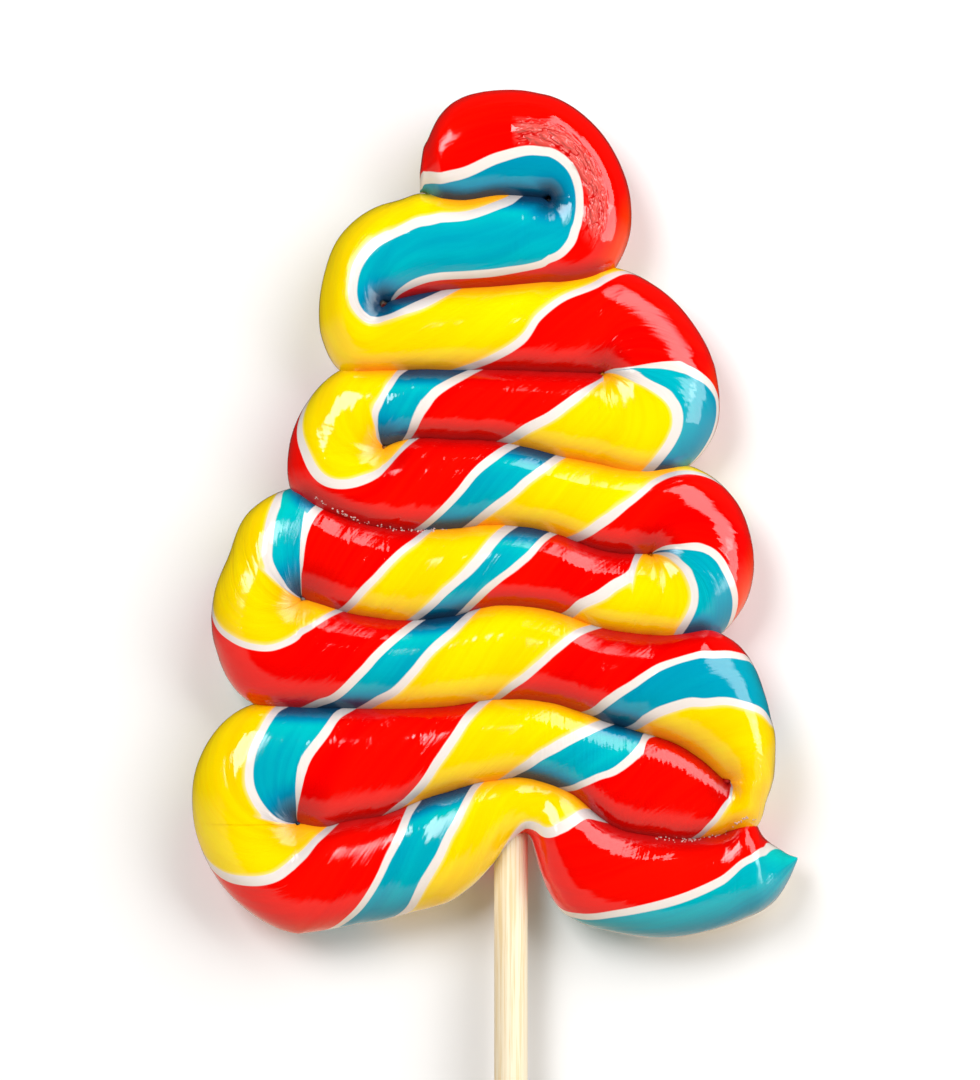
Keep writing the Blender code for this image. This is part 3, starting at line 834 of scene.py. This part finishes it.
CREAM = (0.93, 0.80, 0.40)
SUGAR = ((0.45, 0.22, 0.20), (0.74, 0.60, 0.56))
BIRCH = ((0.87, 0.76, 0.55), (0.90, 0.81, 0.64))
BIRCH_GRAIN = (0.80, 0.62, 0.34)
FLOOR = ((0.85, 0.85, 0.85), (0.87, 0.87, 0.87))
SURROUND_DARK = (0.01, 0.01, 0.01)
SURROUND_PALE = (1.0, 0.86, 0.70)

# The share of each colour where it shows most.
RED_LIGHT_MOST, TEAL_SHADE_MOST, YELLOW_SHADE_MOST = 0.8, 0.8, 0.3
BLUE_SHADE_MOST = 0.65
CREAM_MOST = 0.6
SHEEN_MOST = 0.45
# Where the colours and the painted light and shade change. Slopes are 1 where they face the shaded
# side and -1 where they face away, a crease is 1 at its deepest, and a tone is a noise.
RED_LIGHT_SLOPES = (0.4, 0.9)
SHADE_SLOPES = (0.15, 0.75)
PAINTED_LIT_SLOPES = (0.0, -0.6)
TEAL_SHADE_CREASE, TEAL_DARK_SHADE_CREASE = (0.05, 0.55), (0.35, 1.0)
CREASE_SHADE_POWER, YELLOW_CREASE_SHADE_POWER = 1.4, 2.0  # more keeps the painted crease shade nearer to the crease
TONES = (0.34, 0.66)
STREAKS_SHARE, CLOUDS_SHARE = 0.35, 0.65

# White lines, in millimetres, and the cream that fades out beside them on the yellow.
LINE_HALF_WIDTH = 0.54
LINE_CHANGES = (0.75, 1.25)  # least and most of that width
LINE_WOBBLE = 0.4
LINE_EDGE = 0.07
CREAM_FADE = (0.5, -0.1)

# Noises that run with the stripes: how many times faster they change along a stripe than the relief
# does, then scale for each millimetre, detail and roughness.
STRIPE_NOISES = {
    "line width": (1.6, 0.22, 1.0, 0.5),
    "streaks": (0.6, 0.9, 4.0, 0.6),
    "clouds": (2.5, 0.12, 2.0, 0.5),
    "wrinkles": (4.0, 0.9, 2.0, 0.5),
    "fine": (0.5, 2.2, 3.0, 0.6),
    "patches": (3.0, 0.16, 1.0, 0.5),
    "dents": (1.5, 0.55, 2.0, 0.5),
    "spots": (5.0, 0.21, 0.0, 0.5),
}
ACROSS_COMB = 0.12  # the comb's marks run round the rope, so they hardly change that way

# Bumps: strength, and height in metres.
FINE_BUMP = (0.45, 0.00012)
DENT_BUMP = (0.25, 0.0003)
COMB_BUMP = (0.8, 0.0001)
WRINKLE_BUMP = (1.0, 0.0004)
SUGAR_BUMP = (0.5, 0.0001)
BIRCH_BUMP = (0.4, 0.0001)


def stripe_masks(n, grain, width):
    """From 0 to 1: the red and the teal stripe, the white lines, and the cream beside them."""
    sines = n.parts(n.attribute("sine"))
    cosines = n.parts(n.attribute("cosine"))
    reaches = n.parts(n.attribute("reach"))
    wobble = n.math("SUBTRACT", n.noise(grain, 0.3, 1.0), 0.5)
    wobble = n.math("MULTIPLY", wobble, LINE_WOBBLE)
    least, most = (LINE_HALF_WIDTH * share for share in LINE_CHANGES)
    half_width = n.between(n.stripe_noise(grain, "line width"), 0.3, 0.7, least, most)
    half_width = n.math("MULTIPLY", half_width, width)

    # The last border passed, going round the rope, says which stripe a point is in.
    angles = [n.math("ARCTAN2", s, c) for s, c in zip(sines, cosines)]
    red_at, teal_at, yellow_at = (n.math("FLOORED_MODULO", angle, TURN) for angle in angles)
    is_red = n.math("MULTIPLY", n.math("LESS_THAN", red_at, teal_at),
                    n.math("LESS_THAN", red_at, yellow_at))
    is_teal = n.math("MULTIPLY", n.math("LESS_THAN", teal_at, red_at),
                     n.math("LESS_THAN", teal_at, yellow_at))

    line = cream = None
    for s, c, r, yellow_side in zip(sines, cosines, reaches, (-1, 0, 1)):
        away = n.math("ADD", n.math("MULTIPLY", s, r), wobble)
        near = n.math("GREATER_THAN", c, 0.0)
        gap = n.math("SUBTRACT", n.math("ABSOLUTE", away), half_width)
        here = n.math("MULTIPLY", n.between(gap, LINE_EDGE, -LINE_EDGE), near)
        line = here if line is None else n.math("MAXIMUM", line, here)
        if yellow_side:
            outside = n.math("SUBTRACT", n.math("MULTIPLY", away, yellow_side), half_width)
            soft = n.math("MULTIPLY", n.between(outside, *CREAM_FADE), near)
            cream = soft if cream is None else n.math("MAXIMUM", cream, soft)
    return is_red, is_teal, line, cream


def candy_colour(n, grain, shade, marks, streaks, wrinkle):
    """The stripes' colours with painted shade: deeper in the creases, and bluer teal and warmer
    yellow on the shaded slopes, where red is lighter and warmer as painted light.
    """
    crease, slope, blue_shade = shade
    crinkled, _, width = marks
    is_red, is_teal, line, cream = stripe_masks(n, grain, width)
    clouds = n.stripe_noise(grain, "clouds")
    tone = n.math("ADD", n.math("MULTIPLY", streaks, STREAKS_SHARE),
                  n.math("MULTIPLY", clouds, CLOUDS_SHARE))
    tone = n.between(tone, *TONES)
    painted_crease_shade = n.math("POWER", crease, CREASE_SHADE_POWER)
    shaded = n.between(slope, *SHADE_SLOPES)

    # Painted light: red turns lighter orange-red on shaded slopes; painted shade darkens creases.
    low = n.math("MULTIPLY", n.between(slope, *RED_LIGHT_SLOPES), RED_LIGHT_MOST)
    red = n.mix(low, n.mix(tone, RED, RED_WARM), RED_PAINTED_LIGHT)
    red = n.mix(painted_crease_shade, red, RED_CREASE_SHADE)

    # Painted light and shade: teal brighter facing away, darker and bluer when shaded or creased.
    teal = n.mix(n.between(slope, *PAINTED_LIT_SLOPES), n.mix(tone, TEAL_BLUE, TEAL), TEAL_PAINTED_LIT)
    low = n.math("MAXIMUM", n.math("MULTIPLY", shaded, TEAL_SHADE_MOST),
                 n.math("MULTIPLY", blue_shade, BLUE_SHADE_MOST))
    teal = n.mix(low, teal, TEAL_PAINTED_SHADE)
    teal = n.mix(n.between(crease, *TEAL_SHADE_CREASE), teal, TEAL_PAINTED_SHADE)
    teal = n.mix(n.between(crease, *TEAL_DARK_SHADE_CREASE), teal, TEAL_CREASE_SHADE)

    # Painted shade: yellow turns orange on the shaded slopes and in the creases.
    low = n.math("MULTIPLY", shaded, YELLOW_SHADE_MOST)
    yellow = n.mix(low, n.mix(tone, YELLOW_WARM, YELLOW), YELLOW_SLOPE_SHADE)
    yellow = n.mix(n.math("MULTIPLY", cream, CREAM_MOST), yellow, CREAM)
    yellow = n.mix(n.math("POWER", crease, YELLOW_CREASE_SHADE_POWER), yellow, YELLOW_CREASE_SHADE)

    colour = n.mix(is_teal, n.mix(is_red, yellow, red), teal)
    # Painted sheen: the crinkled patch is pale pink, with painted shade in the wrinkles.
    painted_sheen = n.mix(n.between(wrinkle, 0.0, 0.05), RED_WRINKLE_SHADE, RED_PAINTED_SHEEN)
    colour = n.mix(n.math("MULTIPLY", crinkled, SHEEN_MOST), colour, painted_sheen)
    # Painted shade: the white lines are darker in the creases.
    return n.mix(line, colour, n.mix(painted_crease_shade, WHITE, WHITE_CREASE_SHADE))


def candy_skin(n, grain, marks, wrinkle):
    """Fine lines and dents all over, marks like a comb's in places, and the dried wrinkles."""
    crinkled, combed, _ = marks
    patches = n.between(n.stripe_noise(grain, "patches"), 0.45, 0.62, 0.15, 1.0)
    comb = n.noise(n.scaled(grain, (ACROSS_COMB, ACROSS_COMB, 1 / PULLED)), 1.5, 1.0)
    spots = n.between(n.stripe_noise(grain, "spots"), 0.5, 0.62, 0.0, 0.7)
    combed = n.math("MAXIMUM", combed, spots)
    skin = n.bump(n.math("MULTIPLY", n.stripe_noise(grain, "fine"), patches), *FINE_BUMP)
    skin = n.bump(n.stripe_noise(grain, "dents"), *DENT_BUMP, skin)
    skin = n.bump(n.math("MULTIPLY", comb, combed), *COMB_BUMP, skin)
    wrinkle = n.between(wrinkle, 0.0, 0.2)
    return n.bump(n.math("MULTIPLY", wrinkle, crinkled), *WRINKLE_BUMP, skin)


def candy_material():
    """Boiled sugar: a glossy, slightly cloudy body in three colours with white lines between."""
    made, n, shader = new_material("candy_stripes")
    grain = n.attribute("grain")
    shade, marks = n.parts(n.attribute("shade")), n.parts(n.attribute("marks"))
    streaks = n.stripe_noise(grain, "streaks")
    wrinkle = n.math("ABSOLUTE", n.math("SUBTRACT", n.stripe_noise(grain, "wrinkles"), 0.5))
    n.put(shader.inputs["Base Color"], candy_colour(n, grain, shade, marks, streaks, wrinkle))
    skin = candy_skin(n, grain, marks, wrinkle)
    n.put(shader.inputs["Normal"], skin)
    n.put(shader.inputs["Coat Normal"], skin)
    dull = n.math("MULTIPLY", n.math("POWER", shade[0], 5.0), 0.4)
    gloss = n.between(streaks, 0.3, 0.7, 0.04, 0.09)
    n.put(shader.inputs["Roughness"], n.math("ADD", gloss, dull))
    shader.inputs["IOR"].default_value = 1.5
    shader.inputs["Coat Weight"].default_value = 0.2
    shader.inputs["Coat Roughness"].default_value = 0.03
    shader.inputs["Subsurface Weight"].default_value = 0.1
    shader.inputs["Subsurface Radius"].default_value = (1.0, 0.5, 0.35)
    shader.inputs["Subsurface Scale"].default_value = 0.0012
    return made


def sugar_material():
    """Dry sugar in specks of pink and greyish pink."""
    made, n, shader = new_material("dry_sugar")
    speck = n.noise(n.place(), 2500.0, 2.0)
    n.put(shader.inputs["Base Color"], n.mix(speck, *SUGAR))
    n.put(shader.inputs["Roughness"], n.between(speck, 0.3, 0.7, 0.25, 0.5))
    n.put(shader.inputs["Normal"], n.bump(speck, *SUGAR_BUMP))
    return made


def stick_material():
    """Pale birch with fine grain along the stick."""
    made, n, shader = new_material("birch")
    place = n.place()
    fibre = n.noise(n.scaled(place, (2600.0, 55.0, 2600.0)), 1.0, 4.0, 0.65)
    band = n.noise(n.scaled(place, (700.0, 12.0, 700.0)), 1.0, 2.0)
    colour = n.mix(n.between(band, 0.3, 0.7), *BIRCH)
    colour = n.mix(n.between(fibre, 0.46, 0.62, 0.0, 0.9), colour, BIRCH_GRAIN)
    n.put(shader.inputs["Base Color"], colour)
    n.put(shader.inputs["Roughness"], n.between(fibre, 0.3, 0.7, 0.5, 0.75))
    n.put(shader.inputs["Normal"], n.bump(fibre, *BIRCH_BUMP))
    shader.inputs["Specular IOR Level"].default_value = 0.35
    return made


def floor_material():
    """A matt, nearly white floor."""
    made, n, shader = new_material("pale_floor")
    tone = n.noise(n.place(), 3.0, 2.0)
    n.put(shader.inputs["Base Color"], n.mix(tone, *FLOOR))
    shader.inputs["Roughness"].default_value = 0.9
    shader.inputs["Specular IOR Level"].default_value = 0.1
    return made


# Soft lights: azimuth and elevation in degrees, width and height in metres, and radiance. Azimuth 0
# is over the tree's top, and 90 is to its right.
LIGHTS = {
    "softbox_left": (-48, 50, 0.48, 0.46, 9.4),
    "softbox_right": (50, 37, 1.0, 0.6, 4.3),
    "edge_light": (94, 28, 0.4, 0.42, 4.0),
}
LIGHT_DISTANCE = 0.9  # metres from the candy's middle

# The surround is dark, and pale beyond the tree's foot and a little along the horizon. From and to,
# in coordinates of a direction: y towards the tree's top, and z up.
FOOT_Y, FOOT_Z = (0.1, -0.35), (0.82, 0.70)
HORIZON_Z, HORIZON_SHARE = (0.14, 0.06), 0.05
SURROUND_LIGHT = 0.82
FLOOR_SIZE = 6  # metres


def softbox(name, azimuth, elevation, width, height, radiance):
    """A soft area light that faces the candy."""
    light = bpy.data.lights.new(name, "AREA")
    light.shape = "RECTANGLE"
    light.size, light.size_y = width, height
    light.energy = radiance * math.pi * width * height
    made = new_object(name, light, bpy.context.scene.collection)
    a, e = math.radians(azimuth), math.radians(elevation)
    away = Vector((math.sin(a) * math.cos(e), math.cos(a) * math.cos(e), math.sin(e)))
    made.location = CANDY_MIDDLE + away * LIGHT_DISTANCE
    made.rotation_euler = away.to_track_quat("Z", "Y").to_euler()
    made.visible_camera = False


def surround():
    """A dark surround that is pale beyond the tree's foot."""
    world = bpy.data.worlds.new("surround")
    bpy.context.scene.world = world
    world.use_nodes = True
    n = Nodes(world.node_tree)
    back = world.node_tree.nodes["Background"]
    _, y, z = n.parts(n.add("ShaderNodeTexCoord").outputs["Generated"])
    foot = n.math("MULTIPLY", n.between(y, *FOOT_Y), n.between(z, *FOOT_Z))
    horizon = n.math("MULTIPLY", n.between(z, *HORIZON_Z), HORIZON_SHARE)
    pale = n.math("MAXIMUM", foot, horizon)
    n.put(back.inputs["Color"], n.mix(pale, SURROUND_DARK, SURROUND_PALE))
    back.inputs["Strength"].default_value = SURROUND_LIGHT


def studio():
    """Three soft lights, a pale surround, and a floor that the glossy candy doesn't mirror."""
    for name, settings in LIGHTS.items():
        softbox(name, *settings)
    surround()
    bpy.ops.mesh.primitive_plane_add(size=FLOOR_SIZE, location=(0, 0, 0))
    floor = bpy.context.object
    floor.name = "floor"
    floor.data.materials.append(floor_material())
    floor.visible_glossy = False
    floor.visible_diffuse = False


def camera():
    """A long lens straight above, with the tree's top at the top of the picture."""
    data = bpy.data.cameras.new("camera")
    data.lens = LENS
    data.sensor_width = SENSOR_WIDTH
    data.clip_start, data.clip_end = CLIP
    made = new_object("camera", data, bpy.context.scene.collection)
    distance = VIEW_HEIGHT * data.lens / data.sensor_width
    made.location = (*VIEW_MIDDLE, CANDY_MIDDLE.z + distance)
    made.rotation_euler = (0, 0, 0)
    bpy.context.scene.camera = made


def dress_candy():
    """The rope in place of the candy's plain solid, and the grains of sugar in its creases."""
    mesh = candy_mesh()
    crumb_mesh = sugar_crumbs(mesh)
    for made in (mesh, crumb_mesh):
        made.transform(Matrix.Translation(PLAN_TO_WORLD))
    candy = new_object("candy_rope", mesh, bpy.context.scene.collection)
    mesh.materials.clear()
    mesh.materials.append(candy_material())
    mesh.shade_smooth()
    mesh.set_sharp_from_angle(angle=math.radians(SHARP_ANGLE))
    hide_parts("candy")
    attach(candy, "root")

    crumbs = new_object("sugar_crumbs", crumb_mesh, bpy.context.scene.collection)
    crumb_mesh.materials.append(sugar_material())
    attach(crumbs, "root")


def dress_stick():
    """Wood on the stick's own solid."""
    stick = frame["nodes"]["stick"]
    stick.data.materials.clear()
    stick.data.materials.append(stick_material())


ROPE_LENGTHS = rope_lengths()
candy_low, candy_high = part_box("candy")
stick_low, stick_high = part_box("stick")
CANDY_MIDDLE = (candy_low + candy_high) / 2
STICK_AXIS = (stick_low + stick_high) / 2
PLAN_TO_WORLD = Vector((STICK_AXIS.x, stick_low.y + STICK_EXPOSED * MM, 0))

dress_candy()
dress_stick()
studio()
camera()
bpy.context.scene.view_settings.view_transform = "Standard"
